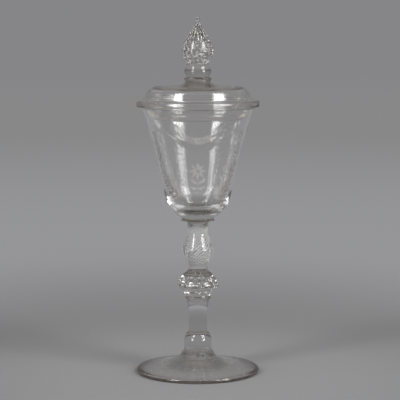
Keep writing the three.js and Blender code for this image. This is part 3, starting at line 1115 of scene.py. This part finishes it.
# How a softbox's cloth dims to its sides, from one to the other, and what makes up for that
LAMP_TONES = ((0.0, "#383838"), (0.32, "#ffffff"), (0.68, "#ffffff"), (1.0, "#383838"))
LAMP_RAISED = 1.25

# Width of the camera's sensor in millimetres, and how far the camera stands to the right
SENSOR = 36
CAMERA_ASIDE = 0.0019


class GOBLET_OT_stage(bpy.types.Operator):
    """Set the floor, the light and the camera"""

    bl_idname = "goblet.stage"
    bl_label = "Stage"

    def execute(self, context):
        scene = context.scene
        self.floor(scene)
        self.world(scene)
        for part, elevation, height, strength in LAMP_PARTS:
            for side, azimuth, width in LAMP_SIDES:
                self.lamp(scene, f"{side}_softbox_{part}", azimuth, elevation, width, height, strength)
        self.camera(scene)
        scene.view_settings.view_transform = "Standard"
        scene.cycles.max_bounces = 32
        scene.cycles.transmission_bounces = 32
        scene.cycles.glossy_bounces = 16
        scene.cycles.transparent_max_bounces = 64
        return {"FINISHED"}

    def floor(self, scene):
        """A wide round sheet of paper. Near the goblet it takes light and shadow, and far out it shows as
        even as a lit backdrop. Through the glass it shows its grey as if lit, with a painted shadow under
        the foot's rim.
        """
        mesh = bmesh.new()
        bmesh.ops.create_circle(mesh, cap_ends=True, segments=FLOOR_SIDES, radius=FLOOR_RADIUS)
        data = bpy.data.meshes.new("floor")
        mesh.to_mesh(data)
        mesh.free()
        sheet = bpy.data.objects.new("floor", data)
        scene.collection.objects.link(sheet)
        material, tree = blank_material("matt_grey_paper")
        place = add_node(tree, "ShaderNodeTexCoord").outputs["Object"]
        length = add_node(tree, "ShaderNodeVectorMath", {"operation": "LENGTH"})
        tree.links.new(place, length.inputs[0])
        reach = length.outputs["Value"]
        parts = add_node(tree, "ShaderNodeSeparateXYZ", links={"Vector": place})
        across = joined(tree, "ABSOLUTE", parts.outputs["X"], clamp=False)
        path = add_node(tree, "ShaderNodeLightPath").outputs

        # The paper's grey holds painted shade and a painted pool of light
        tone = tones(tree, reach, FLOOR_TONES)
        view = {"Fac": path["Is Camera Ray"], "Color1": tones(tree, across, SIDE_TONES)}
        side = add_node(tree, "ShaderNodeMixRGB", {"Color2": WHITE}, view)
        shade = multiplied(tree, tone, side.outputs["Color"])
        # Painted shadow under the foot's rim, for what the glass sees of the paper
        shade = multiplied(tree, shade, tones(tree, reach, RIM_SHADE))
        paper = add_node(tree, "ShaderNodeBsdfDiffuse", links={"Color": tone})
        glow = add_node(tree, "ShaderNodeEmission", links={"Color": shade})
        matt = joined(tree, "SUBTRACT", tones(tree, reach, FLOOR_MATT), path["Is Transmission Ray"])
        put_out(tree, mixed(tree, matt, glow.outputs["Emission"], paper.outputs["BSDF"]))
        data.materials.append(material)

    def world(self, scene):
        """Even light from all round. What shows of it, straight or in the glass, is the far
        floor's grey, and dimmer and warmer overhead.
        """
        world = scene.world or bpy.data.worlds.new("studio")
        scene.world = world
        world.use_nodes = True
        tree = world.node_tree
        tree.nodes.clear()
        place = add_node(tree, "ShaderNodeTexCoord")
        parts = add_node(tree, "ShaderNodeSeparateXYZ", links={"Vector": place.outputs["Generated"]})
        sky = ramp(tree, parts.outputs["Z"], SKY_TONES)
        across = joined(tree, "ABSOLUTE", parts.outputs["X"], clamp=False)
        side = ranged(tree, across, SIDE_FADE, (1.0, SIDE_LEFT), "SMOOTHSTEP")
        path = add_node(tree, "ShaderNodeLightPath").outputs
        camera = path["Is Camera Ray"]
        links = {"Color": sky, "Strength": joined(tree, "MAXIMUM", camera, side)}
        shown = add_node(tree, "ShaderNodeBackground", links=links)
        light = add_node(tree, "ShaderNodeBackground", {"Color": WHITE, "Strength": WORLD_LIGHT})
        rays = joined(tree, "MAXIMUM", camera, path["Is Glossy Ray"])
        rays = joined(tree, "MAXIMUM", rays, path["Is Transmission Ray"])
        lit = joined(tree, "MINIMUM", path["Diffuse Depth"])
        through = joined(tree, "SUBTRACT", rays, lit)
        both = mixed(tree, through, light.outputs["Background"], shown.outputs["Background"])
        add_node(tree, "ShaderNodeOutputWorld", links={"Surface": both})

    def lamp(self, scene, name, azimuth, elevation, width, height, strength):
        """A softbox that faces the goblet, its radiance given by strength."""
        data = bpy.data.lights.new(name, "AREA")
        data.shape = "RECTANGLE"
        data.size = width
        data.size_y = height
        data.energy = strength * width * height * math.pi
        lamp = bpy.data.objects.new(name, data)
        turn, lift = math.radians(azimuth), math.radians(elevation)
        way = Vector((math.sin(turn) * math.cos(lift), -math.cos(turn) * math.cos(lift), math.sin(lift)))
        lamp.location = Vector((0, 0, LAMP_AIM)) + way * LAMP_DISTANCE
        lamp.rotation_euler = way.to_track_quat("Z", "Y").to_euler()
        lamp.visible_camera = False
        data.use_nodes = True
        tree = data.node_tree
        tree.nodes.clear()
        cloth = add_node(tree, "ShaderNodeNewGeometry")
        where = add_node(tree, "ShaderNodeSeparateXYZ", links={"Vector": cloth.outputs["Parametric"]})
        fade = tones(tree, where.outputs["X"], LAMP_TONES)
        glow = add_node(tree, "ShaderNodeEmission", {"Strength": LAMP_RAISED}, {"Color": fade})
        add_node(tree, "ShaderNodeOutputLight", links={"Surface": glow.outputs["Emission"]})
        scene.collection.objects.link(lamp)

    def camera(self, scene):
        """The camera, a little above the goblet and looking down on its foot."""
        stage = scene.goblet_stage
        data = bpy.data.cameras.new("camera")
        data.sensor_width = SENSOR
        data.lens = stage.focal
        camera = bpy.data.objects.new("camera", data)
        camera.location = (CAMERA_ASIDE, -stage.distance, stage.height)
        camera.rotation_euler = (math.pi / 2 - stage.tilt, 0, 0)
        scene.collection.objects.link(camera)
        scene.camera = camera


OPERATORS = (
    GOBLET_OT_foot,
    GOBLET_OT_lower_stem,
    GOBLET_OT_ring_knop,
    GOBLET_OT_baluster,
    GOBLET_OT_bowl,
    GOBLET_OT_cover,
    GOBLET_OT_finial,
    GOBLET_OT_engraving,
    GOBLET_OT_stage,
)


class GOBLET_PT_panel(bpy.types.Panel):
    """The goblet's pieces and settings in the sidebar"""

    bl_idname = "GOBLET_PT_panel"
    bl_label = "Lidded Goblet"
    bl_space_type = "VIEW_3D"
    bl_region_type = "UI"
    bl_category = "Goblet"

    def draw(self, context):
        for group in ("goblet_glass", "goblet_work", "goblet_stage"):
            settings = getattr(context.scene, group)
            for name in settings.__annotations__:
                self.layout.prop(settings, name)
        for operator in OPERATORS:
            self.layout.operator(operator.bl_idname)


CLASSES = (GobletGlassSettings, GobletWorkSettings, GobletStageSettings, *OPERATORS, GOBLET_PT_panel)


def register():
    for kind in CLASSES:
        bpy.utils.register_class(kind)
    bpy.types.Scene.goblet_glass = PointerProperty(type=GobletGlassSettings)
    bpy.types.Scene.goblet_work = PointerProperty(type=GobletWorkSettings)
    bpy.types.Scene.goblet_stage = PointerProperty(type=GobletStageSettings)


def unregister():
    del bpy.types.Scene.goblet_stage
    del bpy.types.Scene.goblet_work
    del bpy.types.Scene.goblet_glass
    for kind in reversed(CLASSES):
        bpy.utils.unregister_class(kind)


def main():
    """Builds the goblet and its stage."""
    register()
    for operator in OPERATORS:
        group, name = operator.bl_idname.split(".")
        getattr(getattr(bpy.ops, group), name)()


if __name__ == "__main__":
    main()
